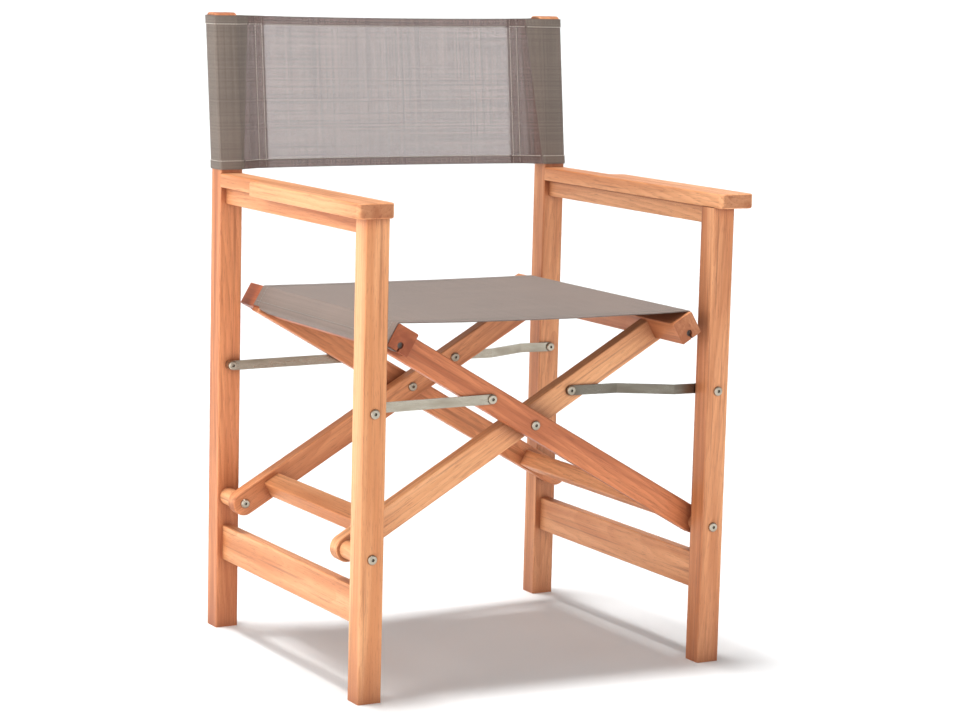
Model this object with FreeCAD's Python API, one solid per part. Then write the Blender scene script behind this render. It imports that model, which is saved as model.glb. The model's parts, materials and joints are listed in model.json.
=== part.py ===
import FreeCAD, Part
import math
import os

# Folding director's chair, in millimetres, +Z up, sitter facing -Y, +X to the sitter's left hand
# as seen from the front on the right of the view.  The origin is on the floor, under the centre
# of the whole chair's box.
#
# Two wooden side frames carry the arms and the canvas back.  Two crossed leg frames join them:
# the inner one runs from the left side frame's foot pivots up to the right seat rail, the outer
# one from the right side frame's foot pivots up to the left seat rail.  They cross at two centre
# bolts.  Four flat steel straps tie the crossed legs to the posts.

# ---- driving dimensions ------------------------------------------------------------------------

# side frames
POST_SPAN = 530.0          # between the mid planes of the left and right posts
POST_W = 34.0              # post width, along X
POST_D = 31.0              # post depth, along Y
SIDE_DEPTH = 485.0         # front of the front post to back of the rear post
CHAIR_H = 880.0            # top of the rear posts
LEAN_Z = 660.0             # above this height the rear posts lean back
LEAN_DEG = 6.6
POST_TOP_R = 8.0           # rounding of the rear posts' top ends
RAIL_T = 16.0              # thickness of both side rails
LOWER_RAIL_Z = 100.0
LOWER_RAIL_H = 50.0
UPPER_RAIL_H = 23.5
TENON_T = 8.0
TENON_L = 14.0
TENON_SHOULDER = 4.0       # step from a rail's edge to its tenon's edge

# arms
ARM_Z = 636.0              # underside
ARM_T = 20.0
ARM_OUT = 21.0             # how far the arm stands out past the posts
ARM_FRONT = 17.0           # how far it stands out past the front post
ARM_CORNER_R = 10.0
ARM_NARROW = 136.0         # length of the narrow stretch ahead of the rear post
ARM_TENON_W = 18.0
ARM_TENON_H = 12.0
DOWEL_D = 8.0
DOWEL_L = 30.0
DOWEL_STEP = 16.0          # between the two dowels under an arm

# crossed legs
PIVOT_Z = 192.0            # foot pivots
CENTRE_Z = 345.0           # centre bolts
LEG_W = 35.0
LEG_T = 20.0
POST_LEG_GAP = 11.4        # rear face of a front post to the outer leg
LEG_LEG_GAP = 7.4          # outer leg to inner leg
STRETCHER_U = 52.5         # foot pivot to stretcher, along the leg
STRETCHER_W = 27.0         # stretcher size along the leg
STRETCHER_H = 24.5         # and across it
STRETCHER_DROP = 3.0       # below the leg's middle line
STRETCHER_TENON_D = 15.0
STRETCHER_TENON_L = 12.0

# seat rails
RAIL_U = 247.0             # centre bolt to the middle of the rail, along the leg
RAIL_RISE = 5.0            # rail's middle above the leg's middle line
RAIL_SIZE = 33.2
LEFT_RAIL_Y = (-215.0, 245.0)
RIGHT_RAIL_Y = (-242.0, 227.0)
KEDER_HOLE_D = 9.0
KEDER_DROP = 8.0           # hole's middle below the rail's middle
KEDER_SLOT = 3.0
KEDER_ROD_D = 6.0

# steel straps and fasteners
STRAP_Z = 383.0            # strap bolts in the posts
STRAP_Q = 80.0             # centre bolt to the strap's screw, along the leg
STRAP_W = 13.5
STRAP_T = 2.5
JOGGLE_START = 51.0        # post bolt to the start of a right strap's slanting stretch
JOGGLE_END = 122.0
BOLT_D = 6.0
HEAD_D = 13.0
HEAD_H = 3.0
SOCKET_AF = 4.0
SOCKET_DEEP = 1.8
NUT_AF = 10.0
NUT_H = 4.0
NUT_RECESS = 13.0          # diameter of the nut recess in the back of a rear post
SPACER_D = 25.0
STRAP_SPACER_D = 13.0

# cloth
CLOTH = 1.6
CLOTH_GAP = 0.3
SEAT_LEFT_Y = (-212.0, 200.0)
SEAT_RIGHT_Y = (-238.0, 190.0)
BACK_Z = (661.0, 876.0)
SLEEVE_SEAM = 37.0         # inner face of a post to the seam that closes its sleeve
BACK_BELLY = 13.0          # how far the middle of the back bows rearward
HALF_GAP = 0.5             # half the gap between the two halves of a cloth panel

# running clearances and easing
TURN_PLAY = 0.1            # on the bolt's diameter where a part turns
FACE_PLAY = 0.1            # between faces that turn on each other
STRAP_PLAY = 0.3           # between a strap and the leg it runs over
EASE = 2.0                 # rounding of the wood's long edges

# the posts' middle lies this far behind the origin, so that the chair's box is centred on it
Y_SHIFT = -5.0

# ---- derived places ----------------------------------------------------------------------------

HALF_SPAN = POST_SPAN / 2
POST_OUT_Y = SIDE_DEPTH / 2
POST_IN_Y = POST_OUT_Y - POST_D
POST_MID_Y = POST_OUT_Y - POST_D / 2
OUTER_Y = (POST_IN_Y - POST_LEG_GAP - LEG_T, POST_IN_Y - POST_LEG_GAP)
INNER_Y = (OUTER_Y[0] - LEG_LEG_GAP - LEG_T, OUTER_Y[0] - LEG_LEG_GAP)
LEG_R = math.hypot(HALF_SPAN, CENTRE_Z - PIVOT_Z)
LEG_DEG = math.degrees(math.atan2(CENTRE_Z - PIVOT_Z, HALF_SPAN))
LEG_TOP_U = RAIL_U + RAIL_SIZE / 2
RAIL_N = (RAIL_RISE - RAIL_SIZE / 2, RAIL_RISE + RAIL_SIZE / 2)
KEDER_N = RAIL_RISE - KEDER_DROP
LEAN = math.tan(math.radians(LEAN_DEG))
TURN_D = BOLT_D + TURN_PLAY

# strap and clearance planes in front of a leg, as distances from the side frame's middle
OUTER_STRAP_Y = (OUTER_Y[1] + STRAP_PLAY, OUTER_Y[1] + STRAP_PLAY + STRAP_T)
INNER_STRAP_Y = (INNER_Y[1] + STRAP_PLAY, INNER_Y[1] + STRAP_PLAY + STRAP_T)
POST_STRAP_Y = (POST_IN_Y - FACE_PLAY - STRAP_T, POST_IN_Y - FACE_PLAY)

vec = FreeCAD.Vector
ORIGIN = vec(0, 0, 0)
ALONG_X = vec(1, 0, 0)
ALONG_Y = vec(0, 1, 0)

nodes = {}
LEFT = -1
RIGHT = 1
SIDE_NAMES = {LEFT: "left", RIGHT: "right"}


# ---- small shape helpers -----------------------------------------------------------------------

def block(x, y, z):
    """Box from three (low, high) pairs."""
    return Part.makeBox(x[1] - x[0], y[1] - y[0], z[1] - z[0], vec(x[0], y[0], z[0]))


def pin(diameter, x, z, y):
    """Cylinder along Y from y[0] to y[1]."""
    return Part.makeCylinder(diameter / 2, y[1] - y[0], vec(x, y[0], z), ALONG_Y)


def prism_y(points, y):
    """Solid with the outline of (x, z) points, from y[0] to y[1]."""
    corners = [vec(px, y[0], pz) for px, pz in points]
    face = Part.Face(Part.makePolygon(corners + corners[:1]))
    return face.extrude(vec(0, y[1] - y[0], 0))


def prism_z(points, z):
    """Solid with the outline of (x, y) points, from z[0] to z[1]."""
    corners = [vec(px, py, z[0]) for px, py in points]
    face = Part.Face(Part.makePolygon(corners + corners[:1]))
    return face.extrude(vec(0, 0, z[1] - z[0]))


def hexagon(across_flats, x, z, y):
    """Hexagonal prism along Y."""
    radius = across_flats / math.sqrt(3)
    turns = [math.radians(60 * k) for k in range(6)]
    return prism_y([(x + radius * math.cos(t), z + radius * math.sin(t)) for t in turns], y)


def mirrored_x(shape):
    return shape.mirror(ORIGIN, ALONG_X)


def mirrored_y(shape):
    return shape.mirror(ORIGIN, ALONG_Y)


def eased(shape, radius, along=None):
    """Round the edges that run along one direction, or all of them."""
    edges = shape.Edges
    if along is not None:
        edges = [e for e in edges if abs(abs(e.tangentAt(e.FirstParameter).dot(along)) - 1) < 1e-6]
    return shape.makeFillet(radius, edges)


def eased_faces(shape, radius):
    """Round the edges of the two faces that look along Y."""
    low = shape.BoundBox.YMin
    high = shape.BoundBox.YMax
    edges = []
    for edge in shape.Edges:
        box = edge.BoundBox
        if box.YLength < 1e-4 and (abs(box.YMin - low) < 1e-4 or abs(box.YMin - high) < 1e-4):
            edges.append(edge)
    return shape.makeFillet(radius, edges)


def keep(name, body_solids):
    """Store one node's solids at their final place."""
    solids = body_solids if isinstance(body_solids, list) else [body_solids]
    placed = []
    for solid in solids:
        copy = solid.copy()
        copy.translate(vec(0, Y_SHIFT, 0))
        placed.append(copy)
    nodes[name] = placed


# ---- fasteners ---------------------------------------------------------------------------------
# All bolts lie along Y with their heads to the front, at a place (x, z).

def bolt(x, z, head_back, tip):
    """Button head with a hexagon socket; head_back is the plane its head bears on."""
    shank = pin(BOLT_D, x, z, (head_back, tip))
    head = pin(HEAD_D, x, z, (head_back - HEAD_H, head_back))
    rim = [e for e in head.Edges if e.BoundBox.YMax < head_back - HEAD_H + 1e-6]
    head = head.makeFillet(HEAD_H * 0.6, rim[:1])
    socket = hexagon(SOCKET_AF, x, z, (head_back - HEAD_H, head_back - HEAD_H + SOCKET_DEEP))
    return head.fuse(shank).removeSplitter().cut(socket)


def nut(x, z, y, height=NUT_H):
    """Hexagon nut whose front face is at y."""
    return hexagon(NUT_AF, x, z, (y, y + height)).cut(pin(BOLT_D, x, z, (y, y + height)))


def spacer(diameter, x, z, y):
    return pin(diameter, x, z, y).cut(pin(BOLT_D, x, z, y))


# ---- side frames -------------------------------------------------------------------------------

def side_rail(side, z0, height, tenon_l):
    """Rail between the posts' inner faces, with a tenon at each end."""
    mid = side * HALF_SPAN
    body = block((mid - RAIL_T / 2, mid + RAIL_T / 2), (-POST_IN_Y, POST_IN_Y), (z0, z0 + height))
    body = eased(body, EASE, ALONG_Y)
    tenon_z = (z0 + TENON_SHOULDER, z0 + height - TENON_SHOULDER)
    tenon = block((mid - TENON_T / 2, mid + TENON_T / 2),
                  (-POST_IN_Y - tenon_l, POST_IN_Y + tenon_l), tenon_z)
    return body.fuse(tenon).removeSplitter()


def rear_post_blank(mid):
    """Upright below LEAN_Z, leaning back above it, with a rounded top."""
    shift = LEAN * (CHAIR_H - LEAN_Z)
    outline = [(POST_IN_Y, 0), (POST_OUT_Y, 0), (POST_OUT_Y, LEAN_Z),
               (POST_OUT_Y + shift, CHAIR_H), (POST_IN_Y + shift, CHAIR_H), (POST_IN_Y, LEAN_Z)]
    x0 = mid - POST_W / 2
    corners = [vec(x0, y, z) for y, z in outline]
    post = Part.Face(Part.makePolygon(corners + corners[:1])).extrude(vec(POST_W, 0, 0))
    top = [e for e in post.Edges if e.BoundBox.ZMin > CHAIR_H - 1 and e.BoundBox.XLength > POST_W / 2]
    post = post.makeFillet(POST_TOP_R, top)
    uprights = [e for e in post.Edges if e.BoundBox.ZLength > 100]
    return post.makeFillet(EASE, uprights)


def arm_blank(side):
    """Flat arm: wide over its front part, narrow and flush with the posts near the rear post."""
    inner = HALF_SPAN - POST_W / 2
    flush = HALF_SPAN + POST_W / 2
    outer = flush + ARM_OUT
    front = -POST_OUT_Y - ARM_FRONT
    step = POST_IN_Y - ARM_NARROW
    plan = [(inner, front), (outer, front), (outer, step), (flush, step),
            (flush, POST_IN_Y), (inner, POST_IN_Y)]
    arm = prism_z(plan, (ARM_Z, ARM_Z + ARM_T))
    uprights = [e for e in arm.Edges if e.BoundBox.ZLength > ARM_T / 2]
    front_corners = [e for e in uprights if e.BoundBox.YMin < front + 1]
    shoulder = [e for e in uprights if abs(e.BoundBox.YMin - step) < 1]
    arm = arm.makeFillet(ARM_CORNER_R, front_corners + shoulder)
    rims = []
    for edge in arm.Edges:
        flat = edge.BoundBox.ZLength < 1e-4
        if flat and edge.BoundBox.YMin < POST_IN_Y - 1:
            rims.append(edge)
    arm = arm.makeFillet(EASE * 1.25, rims)
    tenon_mid_z = ARM_Z + ARM_T / 2
    tenon = block((HALF_SPAN - ARM_TENON_W / 2, HALF_SPAN + ARM_TENON_W / 2),
                  (POST_IN_Y - EASE, POST_IN_Y + TENON_L),
                  (tenon_mid_z - ARM_TENON_H / 2, tenon_mid_z + ARM_TENON_H / 2))
    arm = arm.fuse(tenon).removeSplitter()
    return arm if side == RIGHT else mirrored_x(arm)


def arm_dowels(side):
    """Two dowels from the top of the front post up into the arm."""
    dowels = []
    for offset in (-DOWEL_STEP / 2, DOWEL_STEP / 2):
        base = vec(side * HALF_SPAN + offset, -POST_MID_Y, ARM_Z - DOWEL_L / 2)
        dowels.append(Part.makeCylinder(DOWEL_D / 2, DOWEL_L, base))
    return dowels


def side_frame(side):
    name = SIDE_NAMES[side]
    mid = side * HALF_SPAN
    holds_inner = side == LEFT
    leg_y = INNER_Y if holds_inner else OUTER_Y
    strap_y = OUTER_STRAP_Y if holds_inner else POST_STRAP_Y

    lower = side_rail(side, LOWER_RAIL_Z, LOWER_RAIL_H, TENON_L)
    upper = side_rail(side, ARM_Z - UPPER_RAIL_H, UPPER_RAIL_H, TENON_L / 2)
    arm = arm_blank(side)
    dowels = arm_dowels(side)

    # one upright hole right through for each bolt, and a nut recess behind the rear post
    front_holes = [pin(BOLT_D, mid, z, (-POST_OUT_Y, -POST_IN_Y)) for z in (PIVOT_Z, STRAP_Z)]
    rear_holes = [pin(BOLT_D, mid, z, (POST_IN_Y, POST_OUT_Y)) for z in (PIVOT_Z, STRAP_Z)]
    recesses = [pin(NUT_RECESS, mid, z, (POST_OUT_Y - NUT_H, POST_OUT_Y)) for z in (PIVOT_Z, STRAP_Z)]

    front = block((mid - POST_W / 2, mid + POST_W / 2), (-POST_OUT_Y, -POST_IN_Y), (0, ARM_Z))
    front = eased(front, EASE, vec(0, 0, 1))
    rear = rear_post_blank(mid)
    front = front.cut(lower).cut(upper)
    for tool in dowels + front_holes:
        front = front.cut(tool)
    rear = rear.cut(lower).cut(upper).cut(arm)
    for tool in rear_holes + recesses:
        rear = rear.cut(tool)
    for dowel in dowels:
        arm = arm.cut(dowel)

    keep(name + "_front_post", front)
    keep(name + "_rear_post", rear)
    keep(name + "_lower_rail", lower)
    keep(name + "_upper_rail", upper)
    keep(name + "_armrest", arm)
    keep(name + "_arm_dowels", dowels)

    # foot pivots: the front bolt's head bears on the post, the rear one's on the leg
    leg_front, leg_rear = -leg_y[0], leg_y[0]
    front_nut = leg_front + FACE_PLAY
    rear_head = leg_rear - FACE_PLAY
    spacer_len = (leg_y[1] + FACE_PLAY, POST_IN_Y)
    rear_nut = POST_OUT_Y - NUT_H
    keep(name + "_pivot_bolts", [bolt(mid, PIVOT_Z, -POST_OUT_Y, front_nut + NUT_H),
                                 bolt(mid, PIVOT_Z, rear_head, POST_OUT_Y)])
    keep(name + "_pivot_nuts", [nut(mid, PIVOT_Z, front_nut), nut(mid, PIVOT_Z, rear_nut)])
    front_spacer = (-spacer_len[1], -spacer_len[0])
    keep(name + "_pivot_spacers", [spacer(SPACER_D, mid, PIVOT_Z, front_spacer),
                                   spacer(SPACER_D, mid, PIVOT_Z, spacer_len)])

    # strap bolts
    strap_nut = -strap_y[0] + FACE_PLAY
    strap_head = strap_y[0] - FACE_PLAY
    keep(name + "_strap_bolts", [bolt(mid, STRAP_Z, -POST_OUT_Y, strap_nut + NUT_H),
                                 bolt(mid, STRAP_Z, strap_head, POST_OUT_Y)])
    keep(name + "_strap_nuts", [nut(mid, STRAP_Z, strap_nut), nut(mid, STRAP_Z, rear_nut)])
    if holds_inner:
        rear_tube = (strap_y[1] + FACE_PLAY, POST_IN_Y)
        front_tube = (-rear_tube[1], -rear_tube[0])
        keep(name + "_strap_spacers", [spacer(STRAP_SPACER_D, mid, STRAP_Z, front_tube),
                                       spacer(STRAP_SPACER_D, mid, STRAP_Z, rear_tube)])


# ---- crossed leg frames ------------------------------------------------------------------------
# A leg frame is drawn flat, u along the leg from the centre bolt towards the seat rail as X and
# n across it as Z, then tilted into place.  The outer frame is the mirror image of the inner one.

def tilted(shape, outer):
    """Turn a flat-drawn shape to the leg's slope, through the centre bolt."""
    placed = shape.copy()
    placed.rotate(ORIGIN, ALONG_Y, -LEG_DEG)
    placed.translate(vec(0, 0, CENTRE_Z))
    return mirrored_x(placed) if outer else placed


def leg_blank(y):
    """Leg with a round foot and a square top."""
    half = LEG_W / 2
    foot = vec(-LEG_R, y[0], 0)
    top_low = vec(LEG_TOP_U, y[0], -half)
    top_high = vec(LEG_TOP_U, y[0], half)
    foot_low = foot + vec(0, 0, -half)
    foot_high = foot + vec(0, 0, half)
    outline = Part.Wire([
        Part.LineSegment(foot_low, top_low).toShape(),
        Part.LineSegment(top_low, top_high).toShape(),
        Part.LineSegment(top_high, foot_high).toShape(),
        Part.Arc(foot_high, foot + vec(-half, 0, 0), foot_low).toShape()])
    return eased_faces(Part.Face(outline).extrude(vec(0, y[1] - y[0], 0)), EASE)


def rail_dowels(leg_ys):
    """Dowels from the leg's notch into the rail, along the leg."""
    dowels = []
    for y in leg_ys:
        base = vec(RAIL_U - RAIL_SIZE / 2 - DOWEL_L / 2, (y[0] + y[1]) / 2, RAIL_N[0] + LEG_W / 4)
        dowels.append(Part.makeCylinder(DOWEL_D / 2, DOWEL_L * 0.75, base, ALONG_X))
    return dowels


def seat_rail(y):
    """Square rail with a round channel and a slot that opens downward for the seat's edge."""
    low = RAIL_U - RAIL_SIZE / 2
    body = eased(block((low, low + RAIL_SIZE), y, RAIL_N), EASE, ALONG_Y)
    channel = pin(KEDER_HOLE_D, RAIL_U, KEDER_N, y)
    slot = block((RAIL_U - KEDER_SLOT / 2, RAIL_U + KEDER_SLOT / 2), y, (RAIL_N[0] - 1, KEDER_N))
    return body.cut(channel).cut(slot)


def seat_sling(y, leg_ys, outer):
    """Half of the seat cloth: out of the rail's slot, round its outer face and level to the middle."""
    under = (RAIL_N[0] - CLOTH_GAP - CLOTH, RAIL_N[0] - CLOTH_GAP)
    outside = (LEG_TOP_U + CLOTH_GAP, LEG_TOP_U + CLOTH_GAP + CLOTH)
    rod_low = KEDER_N - KEDER_ROD_D / 2 - CLOTH_GAP
    in_slot = block((RAIL_U - CLOTH / 2, RAIL_U + CLOTH / 2), y, (under[0], rod_low))
    below = block((RAIL_U - CLOTH / 2, outside[1]), y, under)
    wrap = block(outside, y, (under[0], RAIL_N[1] + CLOTH_GAP + CLOTH))
    strips = in_slot.fuse([below, wrap])
    for leg in leg_ys:
        margin = 1.0
        strips = strips.cut(block((RAIL_U - LEG_W, LEG_TOP_U + LEG_W), (leg[0] - margin, leg[1] + margin),
                                  (-LEG_W, RAIL_N[0] + CLOTH_GAP)))
    strips = tilted(strips, outer)

    slope = math.radians(LEG_DEG)
    edge_x = outside[1] * math.cos(slope) - (RAIL_N[1] + CLOTH_GAP) * math.sin(slope)
    corner_z = CENTRE_Z + LEG_TOP_U * math.sin(slope) + RAIL_N[1] * math.cos(slope)
    mid_y = [(a + b) / 2 for a, b in zip(SEAT_LEFT_Y, SEAT_RIGHT_Y)]
    sign = -1 if outer else 1
    outline = [(sign * edge_x, y[0]), (sign * edge_x, y[1]),
               (sign * HALF_GAP, mid_y[1]), (sign * HALF_GAP, mid_y[0])]
    level = prism_z(outline, (corner_z + CLOTH_GAP, corner_z + CLOTH_GAP + CLOTH))
    return strips.fuse(level).removeSplitter()


def leg_frame(outer):
    name = "outer" if outer else "inner"
    rail_side = "left" if outer else "right"
    y = OUTER_Y if outer else INNER_Y
    rail_y = LEFT_RAIL_Y if outer else RIGHT_RAIL_Y
    seat_y = SEAT_LEFT_Y if outer else SEAT_RIGHT_Y
    front_y = (-y[1], -y[0])
    centre_hole = TURN_D if outer else BOLT_D

    rail = seat_rail(rail_y)
    rail_block = block((RAIL_U - RAIL_SIZE / 2, LEG_TOP_U + 1), rail_y, (RAIL_N[0], RAIL_N[1]))
    dowels = rail_dowels((front_y, y))
    stretcher_u = -LEG_R + STRETCHER_U
    stretcher = block((stretcher_u - STRETCHER_W / 2, stretcher_u + STRETCHER_W / 2), (-y[0], y[0]),
                      (-STRETCHER_H / 2 - STRETCHER_DROP, STRETCHER_H / 2 - STRETCHER_DROP))
    stretcher = eased(stretcher, EASE, ALONG_Y)
    tenon = pin(STRETCHER_TENON_D, stretcher_u, -STRETCHER_DROP,
                (-y[0] - STRETCHER_TENON_L, y[0] + STRETCHER_TENON_L))
    stretcher = stretcher.fuse(tenon).removeSplitter()

    for place, leg_y in (("front", front_y), ("rear", y)):
        leg = leg_blank(leg_y)
        leg = leg.cut(rail_block).cut(stretcher)
        leg = leg.cut(pin(TURN_D, -LEG_R, 0, leg_y))
        leg = leg.cut(pin(centre_hole, 0, 0, leg_y))
        leg = leg.cut(pin(BOLT_D, STRAP_Q, 0, leg_y))
        for dowel in dowels:
            leg = leg.cut(dowel)
        keep(name + "_" + place + "_leg", tilted(leg, outer))

    for dowel in dowels:
        rail = rail.cut(dowel)
    keep(name + "_stretcher", tilted(stretcher, outer))
    keep(rail_side + "_seat_rail", tilted(rail, outer))
    keep(rail_side + "_rail_dowels", [tilted(d, outer) for d in dowels])
    rod = pin(KEDER_ROD_D, RAIL_U, KEDER_N, (seat_y[0] + 2, seat_y[1] - 2))
    keep(rail_side + "_keder_rod", tilted(rod, outer))
    keep("seat_sling_" + rail_side, seat_sling(seat_y, (front_y, y), outer))

    # the rear strap's screw is carried by the leg and ends flush with the leg's rear face
    screw = tilted(bolt(STRAP_Q, 0, y[0], y[1]), outer)
    keep(name + "_leg_strap_screw", screw)


def centre_bolts():
    """Bolts, spacers and nuts where the legs cross; they turn with the inner frame."""
    front_head = -OUTER_Y[1] - FACE_PLAY
    front_nut = -INNER_Y[0]
    rear_head = INNER_Y[0]
    rear_nut = OUTER_Y[1] + FACE_PLAY
    between = (INNER_Y[1], OUTER_Y[0] - FACE_PLAY)
    keep("centre_bolts", [bolt(0, CENTRE_Z, front_head, front_nut + NUT_H),
                          bolt(0, CENTRE_Z, rear_head, rear_nut + NUT_H)])
    keep("centre_nuts", [nut(0, CENTRE_Z, front_nut), nut(0, CENTRE_Z, rear_nut)])
    keep("centre_spacers", [spacer(SPACER_D, 0, CENTRE_Z, (-between[1], -between[0])),
                            spacer(SPACER_D, 0, CENTRE_Z, between)])


# ---- steel straps ------------------------------------------------------------------------------
# A strap is drawn with its post bolt at the origin and its leg screw at +X.

STRAP_DX = HALF_SPAN - STRAP_Q * math.cos(math.radians(LEG_DEG))
STRAP_DZ = CENTRE_Z + STRAP_Q * math.sin(math.radians(LEG_DEG)) - STRAP_Z
STRAP_L = math.hypot(STRAP_DX, STRAP_DZ)
STRAP_DEG = math.degrees(math.atan2(STRAP_DZ, STRAP_DX))


def strap_plan(y):
    """Round-ended outline, as a solid between two planes."""
    bar = block((0, STRAP_L), y, (-STRAP_W / 2, STRAP_W / 2))
    return bar.fuse([pin(STRAP_W, 0, 0, y), pin(STRAP_W, STRAP_L, 0, y)]).removeSplitter()


def strap_bar(post_y, leg_y):
    """Flat bar for a rear strap, stepped in depth when its two ends lie in different planes."""
    reach = STRAP_W
    if post_y == leg_y:
        bar = strap_plan(post_y)
    else:
        line = [(-reach, post_y[1]), (JOGGLE_START, post_y[1]), (JOGGLE_END, leg_y[1]),
                (STRAP_L + reach, leg_y[1]), (STRAP_L + reach, leg_y[0]), (JOGGLE_END, leg_y[0]),
                (JOGGLE_START, post_y[0]), (-reach, post_y[0])]
        side_view = prism_z(line, (-STRAP_W / 2, STRAP_W / 2))
        bar = side_view.common(strap_plan((leg_y[0], post_y[1])))
    wide = (leg_y[0] - 1, post_y[1] + 1)
    bar = bar.cut(pin(TURN_D, 0, 0, wide))
    return bar.cut(pin(BOLT_D, STRAP_L, 0, wide))


def strap_placed(shape, side, rear):
    placed = shape.copy()
    placed.rotate(ORIGIN, ALONG_Y, -STRAP_DEG)
    placed.translate(vec(-HALF_SPAN, 0, STRAP_Z))
    if side == RIGHT:
        placed = mirrored_x(placed)
    return placed if rear else mirrored_y(placed)


def straps():
    for side in (LEFT, RIGHT):
        leg_y = OUTER_STRAP_Y if side == LEFT else INNER_STRAP_Y
        post_y = OUTER_STRAP_Y if side == LEFT else POST_STRAP_Y
        bar = strap_bar(post_y, leg_y)
        for place in ("front", "rear"):
            name = SIDE_NAMES[side] + "_" + place + "_strap"
            keep(name, strap_placed(bar, side, place == "rear"))
        # in front a short screw whose head faces forward, behind a nut on a stub
        screw = bolt(0, 0, -leg_y[1], -leg_y[0])
        screw.translate(vec(STRAP_L, 0, 0))
        front = strap_placed(mirrored_y(screw), side, False)
        stub = pin(BOLT_D, STRAP_L, 0, (leg_y[0], leg_y[1] + HEAD_H))
        thin_nut = hexagon(NUT_AF, STRAP_L, 0, (leg_y[1], leg_y[1] + HEAD_H))
        rear = strap_placed(thin_nut.fuse(stub).removeSplitter(), side, True)
        keep(SIDE_NAMES[side] + "_front_strap_screw", front)
        keep(SIDE_NAMES[side] + "_rear_strap_nut", rear)


# ---- canvas back -------------------------------------------------------------------------------

def leaning(wire_at):
    """Solid from the low to the high edge of the back, following the lean of the posts."""
    wires = []
    for z in BACK_Z:
        wires.append(wire_at(POST_MID_Y + LEAN * (z - LEAN_Z), z))
    return Part.makeLoft(wires, True, True)


def loop_wire(points, mid_y, z):
    corners = [vec(x, mid_y + y, z) for x, y in points]
    return Part.makePolygon(corners + corners[:1])


def back_sleeve(side):
    """Cloth tube round a rear post; its two layers meet in a seam beside the post."""
    out_x = HALF_SPAN + POST_W / 2 + CLOTH_GAP
    in_x = HALF_SPAN - POST_W / 2
    seam_x = in_x - SLEEVE_SEAM
    deep = POST_D / 2 + CLOTH_GAP
    outer = [(out_x + CLOTH, -deep - CLOTH), (out_x + CLOTH, deep + CLOTH), (in_x, deep + CLOTH),
             (seam_x, CLOTH), (seam_x, -CLOTH), (in_x, -deep - CLOTH)]
    inner = [(out_x, -deep), (out_x, deep), (in_x, deep), (seam_x + 2 * CLOTH, 0), (in_x, -deep)]
    tube = leaning(lambda y, z: loop_wire(outer, y, z)).cut(leaning(lambda y, z: loop_wire(inner, y, z)))
    return tube if side == RIGHT else mirrored_x(tube)


def back_panel(side):
    """Half of the single cloth between the sleeves, bowed rearward."""
    seam_x = HALF_SPAN - POST_W / 2 - SLEEVE_SEAM - CLOTH_GAP

    def wire_at(mid_y, z):
        def bowed(x, offset):
            return vec(x, mid_y + offset + BACK_BELLY * (1 - (x / seam_x) ** 2), z)

        half_way = (seam_x + HALF_GAP) / 2
        front = [bowed(x, -CLOTH / 2) for x in (seam_x, half_way, HALF_GAP)]
        rear = [bowed(x, CLOTH / 2) for x in (HALF_GAP, half_way, seam_x)]
        return Part.Wire([Part.Arc(*front).toShape(),
                          Part.LineSegment(front[2], rear[0]).toShape(),
                          Part.Arc(*rear).toShape(),
                          Part.LineSegment(rear[2], front[0]).toShape()])

    panel = leaning(wire_at)
    return panel if side == RIGHT else mirrored_x(panel)


def canvas_back():
    for side in (LEFT, RIGHT):
        keep(SIDE_NAMES[side] + "_back_sleeve", back_sleeve(side))
        keep(SIDE_NAMES[side] + "_back_panel", back_panel(side))


# ---- build and write ---------------------------------------------------------------------------

def write_nodes():
    os.makedirs("parts", exist_ok=True)
    whole = FreeCAD.BoundBox()
    for name in sorted(nodes):
        shape = nodes[name][0] if len(nodes[name]) == 1 else Part.makeCompound(nodes[name])
        shape.exportStep("parts/" + name + ".step")
        whole.add(shape.BoundBox)
        print(name, len(shape.Solids), shape.isValid(), round(shape.Volume / 1000, 2), "cm3")
    print("nodes", len(nodes))
    print("box", whole.XMin, whole.XMax, whole.YMin, whole.YMax, whole.ZMin, whole.ZMax)
    print("leg radius", LEG_R, "slope", LEG_DEG, "strap", STRAP_L, STRAP_DEG)


for frame_side in (LEFT, RIGHT):
    side_frame(frame_side)
for is_outer in (False, True):
    leg_frame(is_outer)
centre_bolts()
straps()
canvas_back()
write_nodes()
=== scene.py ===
import json
import math
import random

import bpy
import numpy as np
from mathutils import Matrix, Vector, noise


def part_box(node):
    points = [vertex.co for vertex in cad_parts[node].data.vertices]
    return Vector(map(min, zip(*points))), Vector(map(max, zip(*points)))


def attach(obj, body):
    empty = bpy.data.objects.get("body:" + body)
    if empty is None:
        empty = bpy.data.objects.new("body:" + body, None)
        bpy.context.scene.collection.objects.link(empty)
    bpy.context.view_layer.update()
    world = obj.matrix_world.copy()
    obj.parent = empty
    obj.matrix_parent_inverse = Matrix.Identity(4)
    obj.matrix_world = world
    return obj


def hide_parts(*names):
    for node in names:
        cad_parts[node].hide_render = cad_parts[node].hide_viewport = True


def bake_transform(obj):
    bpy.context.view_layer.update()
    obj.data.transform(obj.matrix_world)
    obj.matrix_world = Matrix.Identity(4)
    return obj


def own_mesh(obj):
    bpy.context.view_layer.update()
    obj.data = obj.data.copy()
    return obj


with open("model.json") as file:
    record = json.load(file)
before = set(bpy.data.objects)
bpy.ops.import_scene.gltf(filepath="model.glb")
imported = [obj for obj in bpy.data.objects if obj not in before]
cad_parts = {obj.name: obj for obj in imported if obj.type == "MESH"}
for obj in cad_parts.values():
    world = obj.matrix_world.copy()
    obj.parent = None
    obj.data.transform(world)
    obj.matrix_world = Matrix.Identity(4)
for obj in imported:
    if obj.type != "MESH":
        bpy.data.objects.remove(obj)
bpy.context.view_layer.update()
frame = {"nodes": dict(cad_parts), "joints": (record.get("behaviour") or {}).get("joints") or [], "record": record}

# ---- sizes, in metres ----------------------------------------------------------------------------

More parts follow.
